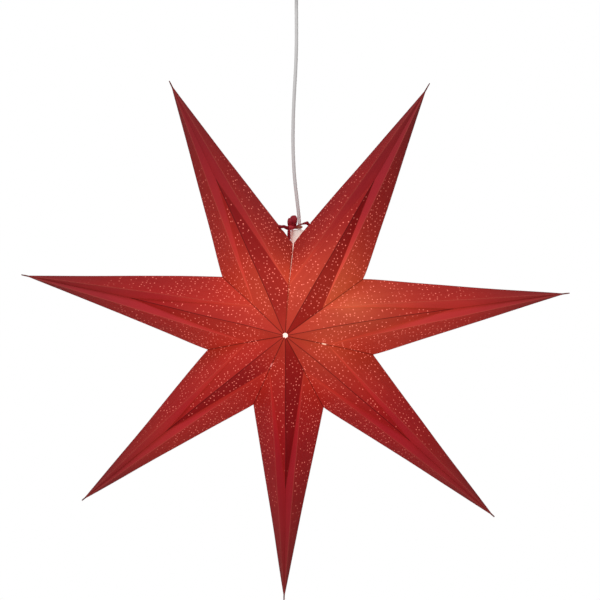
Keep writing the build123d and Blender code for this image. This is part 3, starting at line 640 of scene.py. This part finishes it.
def strayed(number, co):
    """Where a point of an arm's pattern lies in the star as it was folded and glued by hand."""
    name, bearing = arm_names[number], bearings[number]
    clockwise, *swells, extra = arm_shifts[name]
    flat = star_frame.inverted() @ co
    flat.y = 0
    axis = compass(bearing)
    tip = axis * TIP_RADIUS * reach_shares.get(name, 1)
    end = TAIL_RADIUS * reach_shares.get(name, 1)
    along = flat.dot(axis)
    before_end = min(1, (end - along) / (end - tip.length))
    moved = axis * extra * soft_step((along - STRETCH_FROM) / STRETCH_OVER) * before_end
    moved += clockwise_of(axis) * clockwise * soft_step((along - TURN_FROM) / TURN_OVER)
    moved += HUB_SHIFT * bell(flat.length / HUB_PULL)
    for seam, swell in zip((number, number + 1), swells):
        notch, outwards = notch_of(seam)
        out, round_star = notch_shifts[seam]
        felt = bell((flat - notch).length / NOTCH_PULL)
        moved += (outwards * out + clockwise_of(outwards) * round_star) * felt
        edge = (tip - notch).normalized()
        far = (flat - notch).dot(edge) / (tip - notch).length
        normal = (notch - axis * notch.dot(axis)).normalized()
        normal = (normal - edge * normal.dot(edge)).normalized()
        off = (flat - notch).dot(normal)
        if 0 < far < 1:
            moved += normal * swell * math.sin(math.pi * far ** 0.6) * bell(off / EDGE_PULL)
    return co + star_frame.to_3x3() @ moved * MM


def glow_change_at(co):
    """How much more red and warm glow than usual is painted at a place."""
    changes = [0, 0]
    for across, up, reach, *more in glow_patches:
        far = math.hypot(co.x / MM - across, co.z / MM - up) / reach
        changes = [change + extra * bell(far) for change, extra in zip(changes, more)]
    return [max(0.1, 1 + change) for change in changes]


print("the furthest notch shift is", max(math.hypot(*shift) for shift in notch_shifts), "mm")

# %% What each corner of a small face stores
LANE = 0.7                                   # metres between two panels on the flattened sheet


def glow_and_shade_at(co, radius, kind, most_shade, from_radius):
    """The light that the card lets through at a place, its warmth, and how much painted shade lies on
    it.
    """
    redder, warmer = glow_change_at(co)
    thick = most_shade * soft_step((radius / MM - from_radius + SHADE_RISE_START) / SHADE_RISE_OVER)
    passing = CARD_PASSES[kind] + (SHADED_PANEL_PASSES - CARD_PASSES[kind]) * thick
    return passing * redder, warmer * (1 - SHADE_COOLS * thick), thick


def folds_at(co, first, second, third):
    """How far a place is from its panel's mountain fold and its other two edges."""
    return [distance_to_line(co, *edge) for edge in ((second, third), (first, third), (first, second))]


def flattened(co, first, second, third):
    """Where a place lies on its panel when the panel is laid flat."""
    along = (third - second).normalized()
    across = (first - second) - along * (first - second).dot(along)
    return (co - second).dot(along), (co - second).dot(across.normalized())


print("kinds of panel:", ", ".join(PANEL_KINDS))

# %% Make one arm of real paper
def paper_arm(number):
    """A creased, slightly buckled paper arm over the drawn one."""
    name = "arm_" + arm_names[number]
    panels = panels_of(number)
    form = bmesh.new()
    form.from_mesh(nodes[name].data)
    bmesh.ops.remove_doubles(form, verts=form.verts, dist=0.002 * MM)
    bmesh.ops.dissolve_limit(form, angle_limit=math.radians(0.6), verts=form.verts, edges=form.edges)
    bmesh.ops.triangulate(form, faces=form.faces)
    cut_small(form, LONGEST_EDGE)
    form.normal_update()
    for edge in form.edges:
        edge.smooth = len(edge.link_faces) == 2 and edge.calc_face_angle(0) < math.radians(3)
    panel_layer = form.loops.layers.float_vector.new("panel")
    fold_layer = form.loops.layers.float_vector.new("fold")
    flat_layer = form.loops.layers.float_vector.new("flat")
    card_layer = form.loops.layers.float_vector.new("card")
    for face in form.faces:
        face.smooth = True
        found, inner = panel_under(face, panels)
        kind, corners = panels[found] if found is not None else ("flap", None)
        panel_shade = shaded_panels.get((arm_names[number], found), (0, 0))
        for loop in face.loops:
            co = loop.vert.co
            radius = (star_frame.inverted() @ co).xz.length
            loop[panel_layer] = (PANEL_KINDS[kind], radius, float(inner))
            loop[card_layer] = glow_and_shade_at(co, radius, kind, *panel_shade)
            if corners is None:
                loop[fold_layer] = (1, 1, 1)
                loop[flat_layer] = (0, 0, 0)
                continue
            loop[fold_layer] = folds_at(co, *corners)
            along, across = flattened(co, *corners)
            loop[flat_layer] = (along + LANE * (found + len(panels) * number + 1), across, 0)
    for vertex in form.verts:
        vertex.co = strayed(number, vertex.co + noise.noise_vector(vertex.co / BUCKLE_LENGTH) * BUCKLE)
    mesh = bpy.data.meshes.new("paper_" + name)
    form.to_mesh(mesh)
    form.free()
    mesh.materials.append(red_paper_finish)
    piece = bpy.data.objects.new("paper_" + name, mesh)
    bpy.context.scene.collection.objects.link(piece)
    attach(piece, "star")
    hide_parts(name)
    return piece


paper_arms = [paper_arm(number) for number in range(len(arm_names))]
print("faces in the paper:", sum(len(arm.data.polygons) for arm in paper_arms))

# %% [markdown]
# ## The tie
# A flat satin ribbon goes round the cord, is knotted, and ends in standing loops and a loose end.
# Ribbon is a strip that bends easily one way, so each length is made as a strip swept along a smooth
# line, with its width turned as the real ribbon turns.

# %% A strip swept along a line
RIBBON_PROFILE = [                           # across and up, from -1 to 1, round a ribbon's cut end
    (-1, 0), (-0.93, 0.7), (-0.5, 1), (0, 1.06), (0.5, 1), (0.93, 0.7),
    (1, 0), (0.93, -0.7), (0.5, -1), (0, -0.94), (-0.5, -1), (-0.93, -0.7),
]


def curve_at(p, q, r, s, t):
    """A number between q and r, at a share t, on the smooth line through four numbers."""
    square, cube = 2 * p - 5 * q + 4 * r - s, 3 * q - p - 3 * r + s
    return 0.5 * (2 * q + (r - p) * t + square * t ** 2 + cube * t ** 3)


def smooth_line(points, steps):
    """More points on a smooth line through the given ones, with any numbers after the third as well."""
    found = []
    last = len(points) - 1
    for index in range(last):
        a, b = points[max(index - 1, 0)], points[index]
        c, d = points[index + 1], points[min(index + 2, last)]
        for step in range(steps):
            found.append([curve_at(*numbers, step / steps) for numbers in zip(a, b, c, d)])
    return found + [list(points[last])]


def strip(form, stations, thick, closed=False):
    """Adds a strip: each station is a centre, the way its width goes, and half its width."""
    rings = []
    count = len(stations)
    for index, (centre, across, half) in enumerate(stations):
        before = stations[index - 1 if closed or index else 0][0]
        after = stations[(index + 1) % count if closed or index < count - 1 else index][0]
        way = (after - before).normalized()
        across = (across - way * across.dot(way)).normalized()
        up = way.cross(across)
        ring = []
        for side, rise in RIBBON_PROFILE:
            ring.append(form.verts.new(centre + across * half * side + up * rise * thick / 2))
        rings.append(ring)
    pairs = list(zip(rings, rings[1:] + rings[:1])) if closed else list(zip(rings, rings[1:]))
    for ring, following in pairs:
        for index in range(len(ring)):
            after = (index + 1) % len(ring)
            form.faces.new((ring[index], ring[after], following[after], following[index]))
    if not closed:
        form.faces.new(list(reversed(rings[0])))
        form.faces.new(rings[-1])


def soft_piece(name, form, finish, body, slot, *replaced):
    """Turns a form into a piece that rides on a body."""
    bmesh.ops.recalc_face_normals(form, faces=form.faces)
    for face in form.faces:
        face.smooth = True
    mesh = bpy.data.meshes.new(name)
    form.to_mesh(mesh)
    form.free()
    mesh.materials.append(finish)
    piece = bpy.data.objects.new(name, mesh)
    bpy.context.scene.collection.objects.link(piece)
    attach(piece, body)
    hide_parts(*replaced)
    return piece


print("points round a ribbon:", len(RIBBON_PROFILE))

# %% Dark red satin
KNOT = Vector((-6.67 * MM, -3.0 * MM, -390 * MM))
BAND = Vector((4.5 * MM, 4.0 * MM, -389 * MM))


def red_ribbon():
    """Dark satin ribbon with a fine weave, with a painted highlight that makes the knot paler, and faded
    where it rubs on the cord.
    """
    paint = new_paint("red_ribbon")
    threads = paint.noise(0.35 * MM, 3, 0.6)
    folds = paint.noise(4 * MM)
    # A painted highlight makes the knot paler, as if lit from above.
    stretched = 1 - paint.distance_to(KNOT).between(3 * MM, 7 * MM)
    faded = 1 - paint.distance_to(BAND).between(4 * MM, 7 * MM)
    red = paint.mix(folds, (0.26, 0.0055, 0.015), (0.38, 0.0105, 0.026))
    red = paint.mix(threads.between(0.4, 0.8) * 0.3, red, (0.48, 0.032, 0.05))
    red = paint.mix(stretched * 0.7, red, (0.66, 0.055, 0.075))
    red = paint.mix(faded * 0.75, red, (0.55, 0.22, 0.13))
    return paint.surface(
        Base_Color=red, Roughness=0.48 + threads * 0.2, Specular_IOR_Level=0.16,
        Sheen_Weight=0.04, Sheen_Roughness=0.4, Normal=paint.bump(threads, 0.08 * MM),
    )


red_ribbon_finish = red_ribbon()
print("nodes in the ribbon:", len(red_ribbon_finish.node_tree.nodes))

# %% The band round the cord
RIBBON_HALF = 2.2 * MM                       # half the ribbon's width
UP = Vector((0, 0, 1))
BAND_STEPS = 40
ROUND_CORD, ROUND_KNOT = 3.25 * MM, 1.5 * MM

tie_form = bmesh.new()
cord_middle = Vector((3.9 * MM, 7.0 * MM, KNOT.z))
way_out = (cord_middle - KNOT).normalized()
sideways = Vector((-way_out.y, way_out.x, 0))
band = []
for step in range(BAND_STEPS):
    turn = 2 * math.pi * step / BAND_STEPS
    end = cord_middle if math.cos(turn) > 0 else KNOT
    round_end = ROUND_CORD if math.cos(turn) > 0 else ROUND_KNOT
    centre = end + way_out * math.cos(turn) * round_end + sideways * math.sin(turn) * round_end
    slant = (0.5 + 1.3 * math.cos(turn) + 0.25 * math.sin(3 * turn)) * MM
    band.append((centre + UP * slant, UP, RIBBON_HALF * (0.66 - 0.12 * math.cos(turn))))
strip(tie_form, band, 0.8 * MM, closed=True)
print("the band goes", round((cord_middle - KNOT).length / MM, 1), "mm from the knot to the cord")

# %% The standing loops
LOOP_STEPS = 64
LOOP_FOOT_HEIGHT = KNOT.z + 2 * MM
standing_loops = {                           # height, depth, place in depth, then rise, left and right
    "large": (13.6, 3.2, 0.0, [
        (0, -8.6, -0.6), (0.12, -8.5, 0.4), (0.3, -8.3, 1.0), (0.5, -8.1, 1.3), (0.7, -8.0, 1.4),
        (0.85, -7.7, 1.0), (0.95, -6.6, -0.1), (1, -5.4, -1.5),
    ]),
    "small": (10.2, 2.4, -1.0, [
        (0, -10.6, -5.0), (0.3, -11.2, -5.0), (0.6, -11.3, -5.0), (0.85, -10.8, -5.3), (1, -9.9, -6.2),
    ]),
}


def sides_at(rise, profile):
    """The left and right edges of a loop at a rise from 0 to 1."""
    for low, high in zip(profile, profile[1:]):
        if rise <= high[0]:
            share = (rise - low[0]) / (high[0] - low[0])
            return [low[side] + (high[side] - low[side]) * share for side in (1, 2)]
    return profile[-1][1:]


for height, depth, back, profile in standing_loops.values():
    loop_stations = []
    for step in range(LOOP_STEPS):
        turn = 2 * math.pi * step / LOOP_STEPS
        rise = (1 - math.cos(turn)) / 2
        left, right = sides_at(rise, profile)
        belly = math.sin(turn) * (0.35 + 0.65 * math.sin(math.pi * min(1, rise * 0.9 + 0.1)))
        centre = Vector((
            (left + right) / 2 * MM,
            KNOT.y + (back + depth * belly) * MM,
            LOOP_FOOT_HEIGHT + height * rise * MM,
        ))
        loop_stations.append((centre, Vector((1, -0.12, 0.06)), (right - left) / 2 * MM))
    strip(tie_form, loop_stations, 0.5 * MM, closed=True)
print("loops:", ", ".join(standing_loops))

# %% The knot, the loose end and the cut end
knot_parts = bmesh.ops.create_uvsphere(tie_form, u_segments=32, v_segments=20, radius=1)
for vertex in knot_parts["verts"]:
    x, y, z = vertex.co
    pleat = 1 + 0.06 * math.sin(7 * math.atan2(z, x)) + 0.05 * math.sin(3 * y + 4 * x)
    vertex.co = KNOT + Vector((5.4 * MM * x * pleat, 3.6 * MM * y, 2.9 * MM * z * pleat))

loose_end = [                                # place and half the width, in millimetres
    (-8.6, -4.6, -391.0, 1.9), (-9.0, -5.6, -394.5, 2.1), (-9.2, -5.2, -398.5, 2.2),
    (-8.9, -4.6, -402.5, 2.1), (-8.9, -4.8, -405.4, 2.0),
]
cut_end = [(-5.6, -5.6, -391.4, 0.9), (-5.3, -6.4, -393.0, 1.0), (-5.0, -6.2, -394.9, 0.9)]
strip(tie_form, [
    (Vector(place) * MM, Vector((1, 0.3 * math.sin(place[2]), 0)), half * MM)
    for *place, half in smooth_line(loose_end, 5)
], 0.5 * MM)
strip(tie_form, [
    (Vector(place) * MM, Vector((1, 0.2, 0.3)), half * MM) for *place, half in smooth_line(cut_end, 4)
], 0.5 * MM)
tied_ribbon = soft_piece(
    "tied_ribbon", tie_form, red_ribbon_finish, "tie", "red_ribbon", "tie_bow")
print("faces in the tie:", len(tied_ribbon.data.polygons))

# %% [markdown]
# ## The ribbon's two ends
# From the knot the ribbon runs to each top arm, goes through a slot in the folded edge and is knotted
# on both sides. The left end is short and wavy, and the right end arches before it reaches its slot.

# %% Where the slots are
SLOT_RISE = {"left": 25 * MM, "right": 32 * MM}
BACKWARDS = Vector((0, 1, 0))


def slot_place(side):
    """A tie slot on the folded edge, the way into the arm, and the way along the edge."""
    name = "upper_" + side
    number = arm_names.index(name)
    bearing = bearings[number]
    notch = star_point(TOP_NOTCH_RADIUS, 0, 0)
    tip = star_point(TIP_RADIUS * reach_shares.get(name, 1), bearing, 0)
    along = (tip - notch).normalized()
    to_arm = star_point(SHOULDER_RADIUS, bearing, 0) - notch
    into = (to_arm - along * to_arm.dot(along)).normalized()
    return strayed(number, notch + along * SLOT_RISE[side]), into, along


print("the left slot is at height", round(slot_place("left")[0].z / MM), "mm")

# %% A small knot
SMALL_KNOT = (2.4 * MM, 2.0 * MM, 2.1 * MM)  # half its length, depth and width
INNER_KNOT = (2.6 * MM, 2.2 * MM, 2.2 * MM)


def lump(form, centre, axes, sizes):
    """A small knot: a ball with pleats, stretched along three ways."""
    made = bmesh.ops.create_uvsphere(form, u_segments=24, v_segments=16, radius=1)
    for vertex in made["verts"]:
        x, y, z = vertex.co
        pleat = 1 + 0.07 * math.sin(5 * math.atan2(y, x) + 2 * z)
        moves = (x * sizes[0] * pleat, y * sizes[1] * pleat, z * sizes[2])
        vertex.co = centre + axes[0] * moves[0] + axes[1] * moves[1] + axes[2] * moves[2]


print("a small knot is", round(2 * SMALL_KNOT[0] / MM, 1), "mm long")

# %% From the knot to the two top arms
RIBBON_THICK = 0.7 * MM
FROM_KNOT = 4.9 * MM                         # how far from the knot's middle a ribbon starts
INSIDE_ARM = 4.9 * MM                        # how far past the slot its small knot lies


def ribbon_end(side, arch, knot_shift, width_way, width):
    """The ribbon from the knot to one top arm: arched by millimetres, with its end shifted."""
    slot, into, along = slot_place(side)
    outside = slot + (into * knot_shift[0] + along * knot_shift[1] - BACKWARDS * knot_shift[2]) * MM
    inside = slot + into * INSIDE_ARM
    low = KNOT + Vector((0, 0, -1.2 * MM))
    start = low + (outside - low).normalized() * FROM_KNOT
    points = []
    for step, lift in enumerate(arch):
        t = step / (len(arch) - 1)
        place = start.lerp(outside, t) + UP * lift * MM
        across = Vector(width_way).lerp(along, t ** 3)
        points.append((*place, *across, width * (0.9 + 0.1 * math.cos(5 * t))))
    form = bmesh.new()
    half = RIBBON_HALF * 0.9
    strip(form, [
        (Vector(numbers[:3]), Vector(numbers[3:6]), half * numbers[6])
        for numbers in smooth_line(points, 5)
    ], RIBBON_THICK)
    strip(form, [
        (outside, along, half),
        (outside.lerp(inside, 0.5), along, RIBBON_HALF * 0.85),
        (inside, along, half),
    ], RIBBON_THICK)
    frontways = into.cross(along)
    lump(form, outside, (along, frontways, into), SMALL_KNOT)
    lump(form, inside, (along, frontways, into), INNER_KNOT)
    return soft_piece(
        "ribbon_end_" + side, form, red_ribbon_finish, "star", "red_ribbon", "tie_ribbon_" + side)


ribbon_ends = [
    ribbon_end("left", (0, 0, 0.3, 0.9, 0.5, 0, 0), (0.4, 2.7, 5.4), (0, -0.25, 1), 1.25),
    ribbon_end("right", (0, 0.7, 0.8, 0.8, 0.7, 0.5, 0), (-2.6, 0, 0), (0, -1, 0.3), 1.0),
]
print("ribbon ends:", len(ribbon_ends))

# %% [markdown]
# ## The other finishes
# The lamp holder, bulb and ceiling fitting keep their drawn shapes, which are right for moulded and
# turned parts. Each kind of stuff gets one short function that makes its materials, and the record's
# list of slots says which part takes which.

# %% Plastics
PLASTIC_GRAIN = 0.5 * MM
SPECK_SHADE = 0.72                           # how dark a speck is beside the plastic round it


def moulded(name, colours, rough, speck=0.0, **more):
    """Moulded plastic: slight flow clouds, a fine spark-eroded grain, and specks if asked for."""
    paint = new_paint(name)
    flow = paint.noise(9 * MM, 3)
    grain = paint.noise(PLASTIC_GRAIN, 3, 0.7)
    colour = paint.mix(flow, *colours)
    if speck:
        dark = tuple(part * SPECK_SHADE for part in colours[0])
        colour = paint.mix(grain.between(0.62, 0.74) * speck, colour, dark)
    return paint.surface(
        Base_Color=colour, Roughness=rough + grain * 0.12,
        Normal=paint.bump(grain, 0.03 * MM), **more,
    )


print("grain on moulded plastic:", PLASTIC_GRAIN / MM, "mm")

# %% Metals
SCRATCH_WIDTH = 0.25 * MM


def metal(name, colours, rough, size, **more):
    """Bare or plated metal with a fine uneven bloom."""
    paint = new_paint(name)
    bloom = paint.noise(size, 4, 0.65)
    settings, inputs = {"operation": "MULTIPLY"}, {0: paint.place(), 1: (1, 1, 9)}
    squeezed = paint.node("ShaderNodeVectorMath", settings, inputs)
    scratches = paint.noise(SCRATCH_WIDTH, 2, where=squeezed)
    return paint.surface(
        Base_Color=paint.mix(bloom, *colours), Metallic=1.0, Roughness=rough + bloom * 0.18,
        Normal=paint.bump(scratches, 0.012 * MM), **more,
    )


print("scratches on metal:", SCRATCH_WIDTH / MM, "mm")

# %% Glass, glowing parts and enamel
HAZE = 6 * MM
ORANGE_PEEL = 1.6 * MM


def glass(name, colours, rough, glow=None, **more):
    """Glass that is a little uneven, and glows if it is part of the lamp."""
    paint = new_paint(name)
    haze = paint.noise(HAZE, 3)
    if glow:
        more.update(Emission_Color=paint.mix(haze, *glow), Emission_Strength=1.0)
    return paint.surface(
        Base_Color=paint.mix(haze, *colours), Roughness=rough + haze * 0.08,
        Normal=paint.bump(haze, 0.05 * MM), **more,
    )


def enamelled():
    """White stove enamel with a faint orange-peel surface."""
    paint = new_paint("white_enamel")
    peel = paint.noise(ORANGE_PEEL, 2)
    cloud = paint.noise(20 * MM, 2)
    return paint.surface(
        Base_Color=paint.mix(cloud, (0.78, 0.78, 0.76), (0.83, 0.83, 0.81)),
        Roughness=0.28 + peel * 0.08, Normal=paint.bump(peel, 0.05 * MM), Coat_Roughness=0.12,
    )


print("haze in glass:", HAZE / MM, "mm, peel in enamel:", ORANGE_PEEL / MM, "mm")

# %% One finish for each slot
finishes = {
    "white_cord": moulded("white_cord", ((0.87, 0.855, 0.85), (0.93, 0.915, 0.91)), 0.42),
    # The lamp holder's cream plastic has a painted warm glow, standing in for the bulb's light that
    # reaches it.
    "cream_plastic": moulded(
        "cream_plastic", ((0.90, 0.86, 0.80), (0.94, 0.91, 0.86)), 0.35, speck=0.5,
        Emission_Color=(0.22, 0.17, 0.15), Emission_Strength=1.0),
    "white_plastic": moulded("white_plastic", ((0.74, 0.74, 0.72), (0.80, 0.80, 0.78)), 0.40),
    "clear_plastic": moulded(
        "clear_plastic", ((0.66, 0.68, 0.66), (0.74, 0.76, 0.74)), 0.22,
        Transmission_Weight=0.35, IOR=1.5),
    "wire_sleeve": moulded("wire_sleeve", ((0.22, 0.09, 0.035), (0.28, 0.12, 0.05)), 0.4),
    "white_enamel": enamelled(),
    "zinc_steel": metal("zinc_steel", ((0.50, 0.52, 0.55), (0.66, 0.67, 0.69)), 0.32, 3 * MM),
    "brass": metal("brass", ((0.66, 0.44, 0.16), (0.78, 0.56, 0.24)), 0.26, 5 * MM),
    "nickel": metal("nickel", ((0.66, 0.64, 0.60), (0.76, 0.74, 0.70)), 0.20, 5 * MM),
    "solder": metal("solder", ((0.44, 0.44, 0.45), (0.60, 0.60, 0.61)), 0.42, 1 * MM),
    "porcelain": moulded("porcelain", ((0.72, 0.70, 0.64), (0.80, 0.78, 0.73)), 0.5, speck=0.25),
    "black_glass": glass("black_glass", ((0.010, 0.010, 0.012), (0.020, 0.020, 0.022)), 0.08),
    "clear_glass": glass(
        "clear_glass", ((0.90, 0.92, 0.91), (0.95, 0.96, 0.95)), 0.03,
        Transmission_Weight=0.9, IOR=1.5),
    "frosted_glass": glass(
        "frosted_glass", ((0.90, 0.80, 0.62), (0.95, 0.86, 0.70)), 0.35,
        glow=((0.98, 0.76, 0.50), (1.0, 0.84, 0.60))),
    "phosphor": glass(
        "phosphor", ((0.80, 0.58, 0.20), (0.86, 0.64, 0.26)), 0.6,
        glow=((1.0, 0.72, 0.32), (1.0, 0.80, 0.42))),
    "red_paper": red_paper_finish,
    "red_ribbon": red_ribbon_finish,
}
print("finishes:", len(finishes))

# %% Give each drawn part its finish
for part in frame["record"]["subparts"]:
    mesh = nodes[part["node"]].data
    mesh.materials.clear()
    mesh.materials.append(finishes[part["material_slot"]])
pendant_cord.data.materials.append(finishes["white_cord"])
